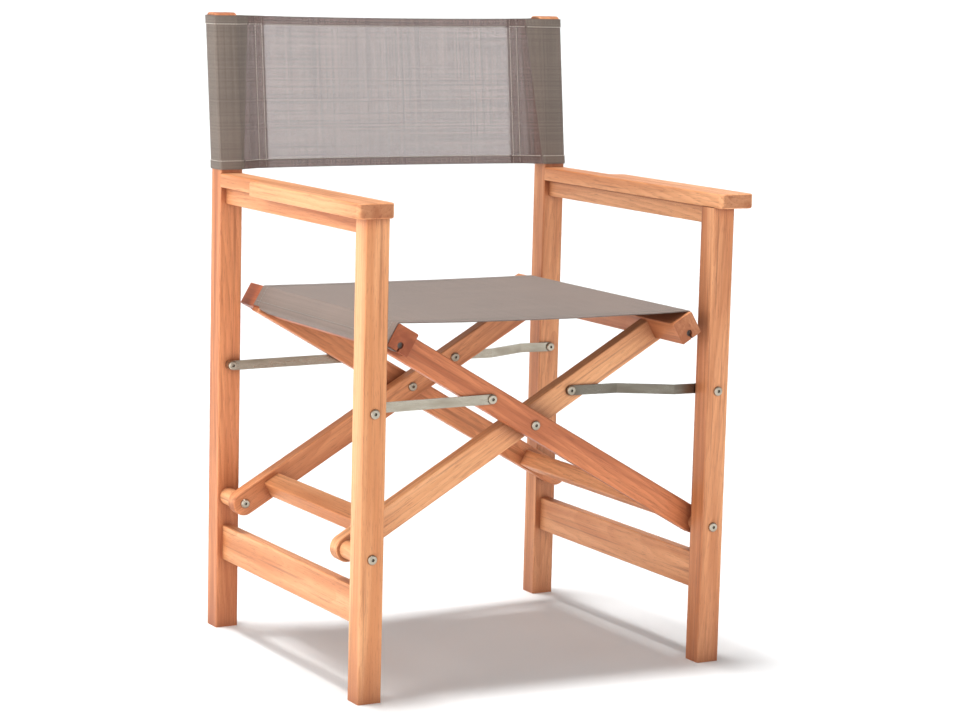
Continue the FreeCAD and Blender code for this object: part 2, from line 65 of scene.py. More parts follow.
MM = 0.001
POST_LOW, POST_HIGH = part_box("right_rear_post")
POST_IN_X = POST_LOW.x                      # inner face of the right posts
POST_W = POST_HIGH.x - POST_LOW.x
POST_D = 31 * MM
POST_MID_Y = POST_LOW.y + POST_D / 2        # the rear posts' middle, below the lean
POST_EASE = 2 * MM                          # rounding of the posts' long edges
LEAN_Z = 0.660                              # the rear posts lean back above this height
LEAN = math.tan(math.radians(6.6))

PIVOT_X = 0.265                             # the legs' foot bolts
PIVOT_Z = 0.192
CENTRE_Z = 0.345                            # the bolts where the legs cross
SLOPE = math.atan2(CENTRE_Z - PIVOT_Z, PIVOT_X)
LEG_R = math.hypot(PIVOT_X, CENTRE_Z - PIVOT_Z)
RAIL_U = 0.247                              # seat rail's middle, along the leg from the centre bolt
RAIL_N = 0.005                              # and across it
RAIL_HALF = 16.6 * MM
RAIL_EASE = 2 * MM
CHANNEL_N = RAIL_N - 8 * MM                 # middle of the round channel in the rail
TUCK_R = 3.5 * MM                           # radius of the cloth's turn round the cord

SEAT_CLOTH = 1.0 * MM
SEAT_LIFT = 1.0 * MM                        # cloth's middle surface to the wood under it
SEAT_SAG = 3.0 * MM
SEAT_LEFT_Y = (-0.217, 0.195)               # front and rear edges at the left rail
SEAT_RIGHT_Y = (-0.243, 0.185)
SEAT_HEM = 18 * MM
SEAT_COLUMNS = 61                           # mesh points from front to rear
SPAN_POINTS = 121                           # and from rail to rail
HEM_COLUMNS = 7
TUCK_STEP = 12 * MM
WRAP_SEAM_ROWS = (2, -3)                    # points of the section where the seams by the rails run
REAR_TIGHTER = 0.65                         # share of the sag that the rear edge lacks
SEAT_RIPPLE = 0.5 * MM
RIPPLE_FADE = 50 * MM                       # the ripple dies out over this distance from the rails

BACK_CLOTH = 0.9 * MM
BACK_LIFT = 0.9 * MM
BACK_Z = (0.661, 0.876)
BACK_HEM = 11 * MM
BACK_DIP = 2.0 * MM                         # the top edge hangs this much lower at the middle
BAND_START = 30 * MM                        # from a post's inner face to the sewn band
BAND_END = 48 * MM
BAND_GAP = BACK_CLOTH * 0.6                 # each layer's distance from the middle of the band
BELLY = 12 * MM
CREASE = 3.4 * MM
BACK_RIPPLE = 0.9 * MM
BACK_ROWS = 55
FLAP_LOOSE = 12                             # mesh points of the front layer outside the band
HALF_LOOSE = 10                             # and of the rear layer
BAND_POINTS = 6
PANEL_POINTS = 58
HEM_SEAM_ROWS = (3, -4)                     # rows of stitches that hold the hems
FLAP_SEAMS = (12, -2)                       # columns of stitches that hold the band
HALF_SEAMS = (10, 14)
PANEL_START = 14                            # column of the rear layer where the open panel starts

THREAD = 1.3 * MM                           # pitch of the woven threads
STITCH = (3.2 * MM, 4.2 * MM, 0.50 * MM)    # a stitch's length, pitch and radius
# shares of a stitch's length, and of its radius there
STITCH_SHAPE = ((0.0, 0.35), (0.15, 0.9), (0.5, 1.0), (0.85, 0.9), (1.0, 0.35))
STITCH_RING = 6                             # sides of a stitch's section

# ---- light and camera ----------------------------------------------------------------------------

FLOOR = 90.0                                # metres from the middle to each edge
WORLD_LIGHT = 0.33                          # overhead; the horizon is 1
HORIZON = (0.14, 0.45)                      # heights of the sky between which it dims
SIDE_LIGHT = 8.0
TOP_LIGHT = 3.0
FRONT_LIGHT = 0.72
VIEW_GAMMA = 0.93
WHITE = (1.0, 1.0, 1.0)
CAMERA_PLACE = (-1.8553, -3.3274, 0.9702)   # in metres
CAMERA_TURN = (-29.51, 8.43, 1.42)          # azimuth, elevation and roll, in degrees
CAMERA_LENS = 102.70                        # in millimetres
SENSOR = 36.0                               # width, in millimetres

# ---- sides and directions ------------------------------------------------------------------------

SIDES = {"left": -1, "right": 1}
RAIL_BODY = {"left": "outer_leg_frame", "right": "inner_leg_frame"}
UP = np.array((0, 0, 1))
TO_FRONT = np.array((0, -1, 0))


# ---- node helpers --------------------------------------------------------------------------------

class Shader:
    """A material's node tree with short calls for the nodes used here."""

    def __init__(self, name):
        self.material = bpy.data.materials.new(name)
        self.material.use_nodes = True
        self.tree = self.material.node_tree
        self.surface = self.tree.nodes["Principled BSDF"]

    def node(self, kind, **settings):
        made = self.tree.nodes.new("ShaderNode" + kind)
        for key, value in settings.items():
            setattr(made, key, value)
        return made

    def link(self, source, target):
        self.tree.links.new(source, target)

    def feed(self, socket, value):
        if isinstance(value, bpy.types.NodeSocket):
            self.link(value, socket)
        else:
            socket.default_value = value

    def math(self, operation, first, second=None, third=None, clamp=False):
        made = self.node("Math", operation=operation, use_clamp=clamp)
        for place, value in enumerate((first, second, third)):
            if value is not None:
                self.feed(made.inputs[place], value)
        return made.outputs[0]

    def noise(self, vector, detail, roughness, scale=1.0, distortion=0.0):
        made = self.node("TexNoise")
        self.link(vector, made.inputs["Vector"])
        made.inputs["Scale"].default_value = scale
        made.inputs["Detail"].default_value = detail
        made.inputs["Roughness"].default_value = roughness
        made.inputs["Distortion"].default_value = distortion
        return made.outputs["Fac"]

    def stretch(self, vector, scale, offset=(0, 0, 0), turn=(0, 0, 0)):
        made = self.node("Mapping")
        self.link(vector, made.inputs["Vector"])
        made.inputs["Scale"].default_value = scale
        made.inputs["Location"].default_value = offset
        made.inputs["Rotation"].default_value = turn
        return made.outputs["Vector"]

    def sheltered(self, distance):
        """1 deep in a corner, 0 in the open."""
        made = self.node("AmbientOcclusion", samples=6)
        made.inputs["Distance"].default_value = distance
        return self.math("SUBTRACT", 1.0, made.outputs["AO"])

    def ramp(self, value, low, high):
        """0 below low, 1 above high."""
        made = self.node("MapRange", interpolation_type="SMOOTHSTEP")
        self.link(value, made.inputs["Value"])
        made.inputs["From Min"].default_value = low
        made.inputs["From Max"].default_value = high
        return made.outputs["Result"]

    def span(self, value, low, high):
        """0..1 to low..high."""
        return self.math("MULTIPLY_ADD", value, high - low, low)

    def mix(self, share, first, second, blend="MIX"):
        made = self.node("Mix", data_type="RGBA", blend_type=blend)
        self.feed(made.inputs["Factor"], share)
        colours = [s for s in made.inputs if s.type == "RGBA"]
        self.feed(colours[0], first)
        self.feed(colours[1], second)
        return [s for s in made.outputs if s.type == "RGBA"][0]

    def stain_and_shade(self, colour, where, strength, stain_and_shade):
        """The colour turned to a second colour, by strength, where the mask is 1: for the wood's grain and darker
        ends, and for painted shade.
        """
        return self.mix(self.math("MULTIPLY", where, strength), colour, stain_and_shade)

    def paint(self, colour, rough):
        self.link(colour, self.surface.inputs["Base Color"])
        self.link(rough, self.surface.inputs["Roughness"])

    def bump(self, height, strength, distance):
        made = self.node("Bump")
        made.inputs["Strength"].default_value = strength
        made.inputs["Distance"].default_value = distance
        self.link(height, made.inputs["Height"])
        self.link(made.outputs["Normal"], self.surface.inputs["Normal"])


def rgb(red, green, blue):
    return (red, green, blue, 1.0)


# ---- materials -----------------------------------------------------------------------------------

# how dark and red a board is: 0 is the palest, and more is redder; the outer legs and the left seat rail, under
# the seat, are set darker partly as painted shade for the seat's shadow
TONES = {
    "left_front_post": 0.1,
    "left_rear_post": 0.95,
    "left_upper_rail": 0.45,
    "left_armrest": 0.35,
    "left_seat_rail": 1.6,
    "right_front_post": 0.55,
    "right_rear_post": 0.5,
    "right_upper_rail": 0.35,
    "right_armrest": 0.35,
    "right_seat_rail": 0.7,
    "outer_front_leg": 1.3,
    "outer_rear_leg": 0.9,
    "outer_stretcher": 0.5,
    "inner_front_leg": 0.1,
    "inner_rear_leg": 0.7,
    "inner_stretcher": 0.3,
}
OTHER_TONE = 0.3

# the wood's colours at tone 0 and at tone 1
PALE_WOOD = ((0.91, 0.500, 0.255), (0.77, 0.320, 0.145))
DEEP_WOOD = ((0.66, 0.275, 0.108), (0.48, 0.155, 0.058))
# the red-brown of the grain's dark marks and the sawn ends, also used for the painted shade in corners and under
# the seat
RED_BROWN = (0.25, 0.070, 0.028)


def toned(ends, tone, shade):
    """The colour at a tone, between two ends or past the second, made lighter or darker by shade."""
    return rgb(*((first + (second - first) * tone) * shade for first, second in zip(*ends)))


def wood(name, grain, middle, seed, tone):
    """Oiled reddish hardwood with its grain along one direction of the object's space."""
    draw = random.Random(seed)
    shader = Shader("wood_" + name)
    coords = shader.node("TexCoord")
    turn = Vector(grain).rotation_difference(Vector((1, 0, 0)))
    board = shader.stretch(coords.outputs["Object"], (1, 1, 1), -(turn @ middle), turn.to_euler())

    def jitter():
        return [draw.uniform(-50, 50) for _ in range(3)]

    figure = shader.noise(shader.stretch(board, (2.2, 34, 34), jitter()), 2.0, 0.5, distortion=0.6)
    # the rings run round a heart beside the board, which leans a little
    heart = [0] + [draw.choice((-1, 1)) * draw.uniform(0.01, 0.05) for _ in range(2)]
    lean = [0] + [draw.uniform(-0.10, 0.10) for _ in range(2)]
    rings = shader.node("TexWave", wave_type="RINGS", rings_direction="X", wave_profile="SAW")
    shader.link(shader.stretch(board, (1, 1, 1), heart, lean), rings.inputs["Vector"])
    rings.inputs["Scale"].default_value = draw.uniform(38, 60)
    rings.inputs["Distortion"].default_value = 3.0
    rings.inputs["Detail"].default_value = 2.0
    rings.inputs["Detail Scale"].default_value = 0.35
    streaks = shader.noise(shader.stretch(board, (6, 300, 300), jitter()), 5.0, 0.62)
    lines = shader.noise(shader.stretch(board, (3, 140, 140), jitter()), 2.0, 0.5)
    fine = shader.noise(shader.stretch(board, (45, 800, 800), jitter()), 3.0, 0.65)
    pores = shader.ramp(fine, 0.54, 0.70)

    shade = draw.uniform(0.96, 1.04)
    pale = toned(PALE_WOOD, tone, shade)
    deep = toned(DEEP_WOOD, tone, shade)
    red_brown = rgb(*RED_BROWN)
    colour = shader.mix(shader.ramp(figure, 0.34, 0.70), pale, deep)
    colour = shader.stain_and_shade(colour, shader.ramp(rings.outputs["Fac"], 0.15, 1.0), 0.36, deep)
    colour = shader.stain_and_shade(colour, shader.ramp(streaks, 0.50, 0.80), 0.55, red_brown)
    colour = shader.stain_and_shade(colour, shader.ramp(lines, 0.60, 0.72), 0.45, red_brown)
    colour = shader.stain_and_shade(colour, pores, 0.42, red_brown)

    # the sawn ends drink more oil and are darker
    facing_end = shader.node("VectorMath", operation="DOT_PRODUCT")
    shader.link(coords.outputs["Normal"], facing_end.inputs[0])
    facing_end.inputs[1].default_value = Vector(grain).normalized()
    end = shader.ramp(shader.math("ABSOLUTE", facing_end.outputs["Value"]), 0.75, 0.95)
    colour = shader.stain_and_shade(colour, end, 0.50, red_brown)
    # painted shade: the wood is darkened and reddened where boards meet, and in the shelter of other parts, such
    # as under the seat
    colour = shader.stain_and_shade(colour, shader.ramp(shader.sheltered(24 * MM), 0.12, 0.90), 0.85, red_brown)
    colour = shader.stain_and_shade(colour, shader.ramp(shader.sheltered(160 * MM), 0.14, 0.52), 0.50, red_brown)
    rough = shader.math("ADD", shader.span(streaks, 0.36, 0.56), shader.math("MULTIPLY", end, 0.15))
    shader.paint(colour, rough)
    shader.surface.inputs["Coat Weight"].default_value = 0.06
    shader.surface.inputs["Coat Roughness"].default_value = 0.35
    grooves = shader.math("ADD", streaks, shader.math("MULTIPLY", pores, -0.9))
    shader.bump(grooves, 0.25, 0.4 * MM)
    return shader.material


def steel(name, brushed_along, dull):
    """Plated steel with fine marks along one direction and painted shade in its recesses; the third argument
    darkens the whole colour, 0 for bright and 1 for dark.
    """
    shader = Shader(name)
    coords = shader.node("TexCoord")
    turn = Vector(brushed_along).rotation_difference(Vector((1, 0, 0))).to_euler()
    along = shader.stretch(coords.outputs["Object"], (1, 1, 1), turn=turn)
    marks = shader.noise(shader.stretch(along, (60, 2600, 2600)), 4.0, 0.6)
    cloud = shader.noise(shader.stretch(coords.outputs["Object"], (20, 20, 70)), 3.0, 0.5)
    tarnish = shader.ramp(cloud, 0.35, 0.80)
    bright = 1.0 - 0.7 * dull
    colour = shader.mix(tarnish, rgb(0.52 * bright, 0.47 * bright, 0.39 * bright),
                        rgb(0.38 * bright, 0.33 * bright, 0.26 * bright))
    # painted shade: the steel turns almost black in its recesses
    painted_recess_shade = shader.ramp(shader.sheltered(3.5 * MM), 0.20, 0.60)
    colour = shader.stain_and_shade(colour, painted_recess_shade, 0.9, rgb(0.03, 0.025, 0.02))
    rough = shader.math("ADD", shader.span(marks, 0.16, 0.36), shader.math("MULTIPLY", tarnish, 0.14))
    shader.paint(colour, rough)
    shader.surface.inputs["Metallic"].default_value = 1.0
    shader.bump(marks, 0.10, 0.1 * MM)
    return shader.material


def edge_cord():
    """Matt plastic cord with faint drawn lines; its dark colour is painted shade for the channel where the cord
    shows at the rail ends.
    """
    shader = Shader("edge_cord")
    coords = shader.node("TexCoord")
    lines = shader.noise(shader.stretch(coords.outputs["Object"], (1400, 20, 1400)), 3.0, 0.6)
    colour = shader.mix(lines, rgb(0.13, 0.12, 0.11), rgb(0.24, 0.22, 0.20))
    shader.paint(colour, shader.span(lines, 0.5, 0.7))
    shader.bump(lines, 0.2, 0.1 * MM)
    return shader.material


def woven(name, warp_colour, weft_colour, cover, uneven):
    """Plain weave on the cloth's own flat coordinates.

    cover is how much the threads hide, and uneven how much one thread differs from the next.
    A look through the cloth crosses its two surfaces, so each hides less than the whole.
    """
    shader = Shader(name)
    flat = shader.node("UVMap", uv_map="flat")
    axes = shader.node("SeparateXYZ")
    shader.link(flat.outputs["UV"], axes.inputs[0])
    turns = math.pi / THREAD
    across = shader.math("SINE", shader.math("MULTIPLY", axes.outputs["X"], turns))
    along = shader.math("SINE", shader.math("MULTIPLY", axes.outputs["Y"], turns))
    over = shader.ramp(shader.math("MULTIPLY", across, along), -0.15, 0.15)
    warp = shader.math("ABSOLUTE", across)
    weft = shader.math("ABSOLUTE", along)
    height = shader.math("ADD", shader.math("MULTIPLY", warp, over),
                         shader.math("MULTIPLY", weft, shader.math("SUBTRACT", 1.0, over)))
    gap = shader.math("MULTIPLY", shader.math("SUBTRACT", 1.0, warp), shader.math("SUBTRACT", 1.0, weft))

    slub_warp = shader.noise(shader.stretch(flat.outputs["UV"], (400, 1.6, 1)), 1.0, 0.5)
    slub_weft = shader.noise(shader.stretch(flat.outputs["UV"], (1.6, 400, 1), (37, 11, 0)), 1.0, 0.5)
    cloud = shader.noise(flat.outputs["UV"], 3.0, 0.5, scale=14.0)
    threads = shader.mix(over, weft_colour, warp_colour)
    streaks = shader.math("MULTIPLY", shader.math("ADD", slub_warp, slub_weft), 0.5)
    light = shader.mix(shader.ramp(streaks, 0.36, 0.64), rgb(*[1 - uneven] * 3), rgb(*[1 + uneven] * 3))
    colour = shader.mix(1.0, threads, light, "MULTIPLY")
    worn = shader.mix(shader.ramp(cloud, 0.3, 0.8), rgb(0.96, 0.96, 0.96), rgb(1.04, 1.03, 1.02))
    colour = shader.mix(1.0, colour, worn, "MULTIPLY")
    # painted shade in the gaps between the threads
    colour = shader.stain_and_shade(colour, gap, 0.5, rgb(0.10, 0.085, 0.075))
    shader.paint(colour, shader.span(height, 0.88, 0.68))
    shader.surface.inputs["Sheen Weight"].default_value = 0.12
    shader.surface.inputs["Sheen Roughness"].default_value = 0.5
    if cover < 1.0:
        each = 1 - math.sqrt(1 - cover)
        solid = shader.math("MULTIPLY_ADD", gap, -0.40, each + 0.06)
        thin = shader.math("SUBTRACT", 0.5, streaks)
        solid = shader.math("MULTIPLY_ADD", thin, uneven, solid, clamp=True)
        shader.link(solid, shader.surface.inputs["Alpha"])
    shader.bump(height, 0.35, 0.25 * MM)
    return shader.material


def sewing_thread(name, shade):
    shader = Shader(name)
    coords = shader.node("TexCoord")
    twist = shader.noise(coords.outputs["Object"], 2.0, 0.5, scale=900.0)
    colour = shader.mix(twist, rgb(0.42 * shade, 0.38 * shade, 0.34 * shade),
                        rgb(0.62 * shade, 0.58 * shade, 0.53 * shade))
    shader.paint(colour, shader.span(twist, 0.55, 0.8))
    shader.bump(twist, 0.3, 0.1 * MM)
    return shader.material


# ---- wood, steel and cord on the CAD pieces ------------------------------------------------------

LEG_GRAIN = {
    "inner": (math.cos(SLOPE), 0, math.sin(SLOPE)),
    "outer": (-math.cos(SLOPE), 0, math.sin(SLOPE)),
}


def grain_of(node):
    """The direction the wood of a node runs."""
    if node.endswith("_leg"):
        return LEG_GRAIN[node.split("_")[0]]
    if "rail_dowels" in node:
        return LEG_GRAIN["outer" if node.startswith("left") else "inner"]
    if "post" in node or "arm_dowels" in node:
        return (0, 0, 1)
    return (0, 1, 0)


def finish_cad_nodes():
    slots = {part["node"]: part["material_slot"] for part in frame["record"]["subparts"]}
    strap_steel = steel("strap_steel", (1, 0, 0), 0.15)
    # painted shade: the right front strap gets this darker copy of the strap steel
    dull_steel = steel("dull_steel", (1, 0, 0), 0.8)
    bolt_steel = steel("bolt_steel", (0, 0, 1), 0.0)
    cord = edge_cord()
    for seed, node in enumerate(sorted(slots)):
        piece = frame["nodes"][node]
        if slots[node] == "wood":
            low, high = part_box(node)
            material = wood(node, grain_of(node), (low + high) / 2, seed, TONES.get(node, OTHER_TONE))
        elif node == "right_front_strap":
            material = dull_steel
        elif slots[node] == "steel":
            material = strap_steel if node.endswith("_strap") else bolt_steel
        elif slots[node] == "edge_cord":
            material = cord
        else:
            continue
        piece.data.materials.clear()
        piece.data.materials.append(material)


# ---- cloth meshes --------------------------------------------------------------------------------

def link_mesh(name, points, faces, material, flat=None, smooth=True):
    mesh = bpy.data.meshes.new(name)
    mesh.from_pydata([tuple(p) for p in points], [], faces)
    mesh.materials.append(material)
    if flat is not None:
        layer = mesh.uv_layers.new(name="flat")
        for loop in mesh.loops:
            layer.data[loop.index].uv = flat[loop.vertex_index]
    mesh.validate()
    piece = bpy.data.objects.new(name, mesh)
    bpy.context.scene.collection.objects.link(piece)
    if smooth:
        mesh.shade_smooth()
        mesh.set_sharp_from_angle(angle=math.radians(50))
    return piece


def normals_of(grid):
    """Unit normals of a grid of points, from its two directions."""
    down = np.gradient(grid, axis=0)
    across = np.gradient(grid, axis=1)
    normal = np.cross(down, across)
    return normal / np.maximum(np.linalg.norm(normal, axis=2, keepdims=True), 1e-12)


def facing(grid, column, direction):
    """1 when the normal half way down a column points along direction, and -1 when against it."""
    normal = normals_of(grid)[len(grid) // 2, column]
    return 1 if normal @ direction > 0 else -1


def shell(name, grid, flat, thickness, material, offset=0.0, joins=()):
    """Closed thin cloth from a grid of points.

    joins names the ends, first or last, that meet another piece: there the cloth thins to one line
    that both pieces share, so no step shows between them.
    """
    rows, columns = grid.shape[:2]
    normal = normals_of(grid)
    half = np.full(columns, thickness / 2)
    shift = np.full(columns, offset)
    if "first" in joins:
        half[0] = 0.0
    if "last" in joins:
        half[-1] = 0.0
    top = grid + normal * (shift + half)[None, :, None]
    bottom = grid + normal * (shift - half)[None, :, None]
    count = rows * columns
    index = np.arange(count).reshape(rows, columns)
    under = index + count
    if "first" in joins:
        under[:, 0] = index[:, 0]
    if "last" in joins:
        under[:, -1] = index[:, -1]
    faces = []
    for i in range(rows - 1):
        for j in range(columns - 1):
            corners = ((i, j), (i + 1, j), (i + 1, j + 1), (i, j + 1))
            faces.append([index[c] for c in corners])
            faces.append([under[c] for c in reversed(corners)])
        faces.append([index[i + 1, 0], index[i, 0], under[i, 0], under[i + 1, 0]])
        faces.append([index[i, -1], index[i + 1, -1], under[i + 1, -1], under[i, -1]])
    for j in range(columns - 1):
        faces.append([index[0, j], index[0, j + 1], under[0, j + 1], under[0, j]])
        faces.append([index[-1, j + 1], index[-1, j], under[-1, j], under[-1, j + 1]])
    # drop the corners that a join makes meet, and the faces left with fewer than three
    faces = [list(dict.fromkeys(int(v) for v in face)) for face in faces]
    faces = [face for face in faces if len(face) > 2]
    used = sorted({v for face in faces for v in face})
    place = {old: new for new, old in enumerate(used)}
    faces = [[place[v] for v in face] for face in faces]
    both = np.concatenate([top.reshape(-1, 3), bottom.reshape(-1, 3)])[used]
    uv = np.concatenate([flat.reshape(-1, 2)] * 2)[used]
    return link_mesh(name, both, faces, material, uv)


def lengths_along(path):
    steps = np.linalg.norm(np.diff(path, axis=0), axis=1)
    return np.concatenate([[0.0], np.cumsum(steps)])


def rows_at(lengths, rows, wanted):
    """The rows of an array at one or more lengths along a path; lengths says where each row lies."""
    return np.stack([np.interp(wanted, lengths, rows[:, k]) for k in range(rows.shape[1])], axis=-1)


def resample(path, count):
    """count points, evenly spaced along a polyline."""
    at = lengths_along(path)
    return rows_at(at, path, np.linspace(0, at[-1], count))


def arc(centre, radius, start, end, count):
    """Points on an arc, angles in degrees."""
    turns = np.radians(np.linspace(start, end, count))
    return np.stack([centre[0] + radius * np.cos(turns), centre[1] + radius * np.sin(turns)], axis=1)


def stitches(name, lines, material):
    """Rows of short raised threads along polylines; each line is (points, outward directions)."""
    length, pitch, radius = STITCH
    points, faces = [], []
    for path, outward in lines:
        at = lengths_along(path)
        for start in np.arange(pitch / 2, at[-1] - length, pitch):
            first, last = rows_at(at, path, (start, start + length))
            out = rows_at(at, outward, start)
            out /= np.linalg.norm(out)
            along = last - first
            along /= np.linalg.norm(along)
            side = np.cross(along, out)
            base = len(points)
            for share, size in STITCH_SHAPE:
                middle = first + (last - first) * share + out * radius * 0.5 * size
                for k in range(STITCH_RING):
                    turn = 2 * math.pi * k / STITCH_RING
                    points.append(middle + (side * math.cos(turn) + out * math.sin(turn)) * radius * size)
            for level in range(len(STITCH_SHAPE) - 1):
                for k in range(STITCH_RING):
                    a = base + level * STITCH_RING + k
                    b = base + level * STITCH_RING + (k + 1) % STITCH_RING
                    faces.append((a, b, b + STITCH_RING, a + STITCH_RING))
            end = len(points) - STITCH_RING
            faces.append(tuple(base + k for k in reversed(range(STITCH_RING))))
            faces.append(tuple(end + k for k in range(STITCH_RING)))
    return link_mesh(name, points, faces, material)


# ---- seat ----------------------------------------------------------------------------------------

def from_leg(path, side):
    """(u, n) on the right leg's flat view to (x, z); the left side is its mirror image."""
    u, n = path[:, 0], path[:, 1]
    x = u * math.cos(SLOPE) - n * math.sin(SLOPE)
    z = CENTRE_Z + u * math.sin(SLOPE) + n * math.cos(SLOPE)
    return np.stack([SIDES[side] * x, z], axis=1)


OUT_U = RAIL_U + RAIL_HALF
TOP_N = RAIL_N + RAIL_HALF
LOW_N = RAIL_N - RAIL_HALF
TURN_R = RAIL_EASE + SEAT_LIFT
TOP_TURN = (OUT_U - RAIL_EASE, TOP_N - RAIL_EASE)
LOW_TURN = (OUT_U - RAIL_EASE, LOW_N + RAIL_EASE)


def outer_wrap(side):
    """From the foot of the rail's outer face, up that face and over the top edge."""
    foot = arc(LOW_TURN, TURN_R, 0, 0, 1)
    over = arc(TOP_TURN, TURN_R, 0, 90 - math.degrees(SLOPE), 8)
    face = resample(np.concatenate([foot, over[:1]]), 9)
    return from_leg(np.concatenate([face[:-1], over]), side)


def tucked_wrap():
    """Round the cord in the channel, down the slot, out under the rail and round its outer edge."""
    mouth_n = LOW_N + 0.2 * MM
    mouth_r = 1.2 * MM
    loop = arc((RAIL_U, CHANNEL_N), TUCK_R, -60, -385, 22)
    slot = np.array([(RAIL_U, CHANNEL_N - TUCK_R - 0.4 * MM), (RAIL_U, mouth_n)])
    turn_in = arc((RAIL_U + mouth_r, mouth_n), mouth_r, 180, 270, 5)
    low = arc(LOW_TURN, TURN_R, -90, 0, 7)
    return np.concatenate([loop, slot, turn_in, low])


def seat_edges_y(x):
    """The seat's front and rear edges at x; they aren't quite parallel."""
    share = np.clip((x / POST_IN_X + 1) / 2, 0, 1)
    front = SEAT_LEFT_Y[0] + (SEAT_RIGHT_Y[0] - SEAT_LEFT_Y[0]) * share
    rear = SEAT_LEFT_Y[1] + (SEAT_RIGHT_Y[1] - SEAT_LEFT_Y[1]) * share
    return front, rear


def seat_section():
    """The seat's section from the left rail's outer face to the right one's, as (x, z)."""
    left = outer_wrap("left")
    right = outer_wrap("right")
    span = abs(left[-1, 0])
    x = np.linspace(-span, span, SPAN_POINTS)
    z = np.full_like(x, left[-1, 1])
    level = np.stack([x, z], axis=1)
    return np.concatenate([left[:-1], level, right[::-1][1:]])


def seat_grid(section, v):
    """Points for a section swept between the front and rear edges; v runs 0..1 from front to rear."""
    x, z = section[:, 0], section[:, 1]
    front, rear = seat_edges_y(x)
    span = abs(outer_wrap("left")[-1, 0])
    hang = SEAT_SAG * np.clip(1 - (x / span) ** 2, 0, 1)
    grid = np.zeros((len(x), len(v), 3))
    for j, share in enumerate(v):
        grid[:, j, 0] = x
        grid[:, j, 1] = front + (rear - front) * share
        slack = 1.0 - REAR_TIGHTER * share
        ripple = np.array([noise.noise((px * 14, share * 2.2, 3.7)) for px in x]) * SEAT_RIPPLE
        fade = np.clip((span - abs(x)) / RIPPLE_FADE, 0, 1)
        grid[:, j, 2] = z - hang * slack + ripple * fade
    return grid


def flat_of(grid):
    """Flat cloth coordinates of a grid: the length along its first direction, and its y."""
    middle = grid[:, grid.shape[1] // 2]
    flat = np.zeros(grid.shape[:2] + (2,))
    flat[..., 0] = lengths_along(middle)[:, None]
    flat[..., 1] = grid[..., 1]
    return flat


def seat_hems(section, cloth):
    """The second layer turned under the front and rear edges, and the seam along each."""
    hem_share = SEAT_HEM / (SEAT_LEFT_Y[1] - SEAT_LEFT_Y[0])
    hems, lines = [], []
    for name, low, high, column in (("front", 0.0, hem_share, -2), ("rear", 1 - hem_share, 1.0, 1)):
        hem = seat_grid(section, np.linspace(low, high, HEM_COLUMNS))
        outward = facing(hem, HEM_COLUMNS // 2, UP)
        hems.append(shell("seat_" + name + "_hem", hem, flat_of(hem), SEAT_CLOTH * 0.4, cloth,
                          offset=-outward * SEAT_CLOTH * 0.72))
        out = normals_of(hem)[:, column] * outward
        lines.append((hem[:, column] + out * SEAT_CLOTH * 0.5, out))
    return hems, lines


def seat_tucks(side, cloth):
    """The seat's edge round the cord in one rail, in the stretches that the legs leave free."""
    legs = [RAIL_BODY[side].replace("leg_frame", place + "_leg") for place in ("front", "rear")]
    front_leg, rear_leg = sorted((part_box(leg)[0].y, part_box(leg)[1].y) for leg in legs)
    front, rear = SEAT_LEFT_Y if side == "left" else SEAT_RIGHT_Y
    stops = [front, front_leg[0] - MM, front_leg[1] + MM, rear_leg[0] - MM, rear_leg[1] + MM, rear]
    tuck = from_leg(tucked_wrap(), side)
    made = []
    for number, (start, end) in enumerate(zip(stops[::2], stops[1::2])):
        if end - start < 2 * MM:
            continue
        ys = np.linspace(start, end, max(2, int((end - start) / TUCK_STEP)))
        strip = np.zeros((len(tuck), len(ys), 3))
        strip[..., 0] = tuck[:, 0, None]
        strip[..., 1] = ys[None, :]
        strip[..., 2] = tuck[:, 1, None]
        made.append(shell(f"seat_{side}_tuck_{number}", strip, flat_of(strip), SEAT_CLOTH * 0.8, cloth))
    return made


def make_seat(cloth, thread):
    section = seat_section()
    grid = seat_grid(section, np.linspace(0, 1, SEAT_COLUMNS))
    seat = shell("seat_cloth", grid, flat_of(grid), SEAT_CLOTH, cloth)
    extra, lines = seat_hems(section, cloth)
    # a seam runs along the rails where each wrap starts
    out = normals_of(grid) * facing(grid, SEAT_COLUMNS // 2, UP)
    lines += [(grid[row] + out[row] * SEAT_CLOTH * 0.5, out[row]) for row in WRAP_SEAM_ROWS]
    extra.append(stitches("seat_stitches", lines, thread))
    for side in SIDES:
        extra += seat_tucks(side, cloth)

    for piece in [seat] + extra:
        if "tuck" in piece.name:
            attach(piece, RAIL_BODY["left" if "left" in piece.name else "right"])
        else:
            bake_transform(piece)
    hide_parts("seat_sling_left", "seat_sling_right")


# ---- back ----------------------------------------------------------------------------------------
# Each side is drawn in d, the distance inward from its post's inner face, and h, the distance
# behind the leaning post's middle plane.

FOLD_SWAY = 0.42            # rearward tilt of the plane that splits each sleeve from its slack cloth, set for the folded chair
FOLD_DEG = 80.0             # the legs' slope when folded
ANCHOR_H = -(POST_D / 2 + BACK_LIFT)        # the point by the post that stays still
ANCHOR_D = 1.5 * MM


def fold_tilt():
    """How far each side frame leans outward when the chair is folded, in radians."""
    fold = next(j for j in frame["joints"] if j["name"] == "fold")
    return math.radians(FOLD_DEG - math.degrees(SLOPE) - fold["range_deg"][1])


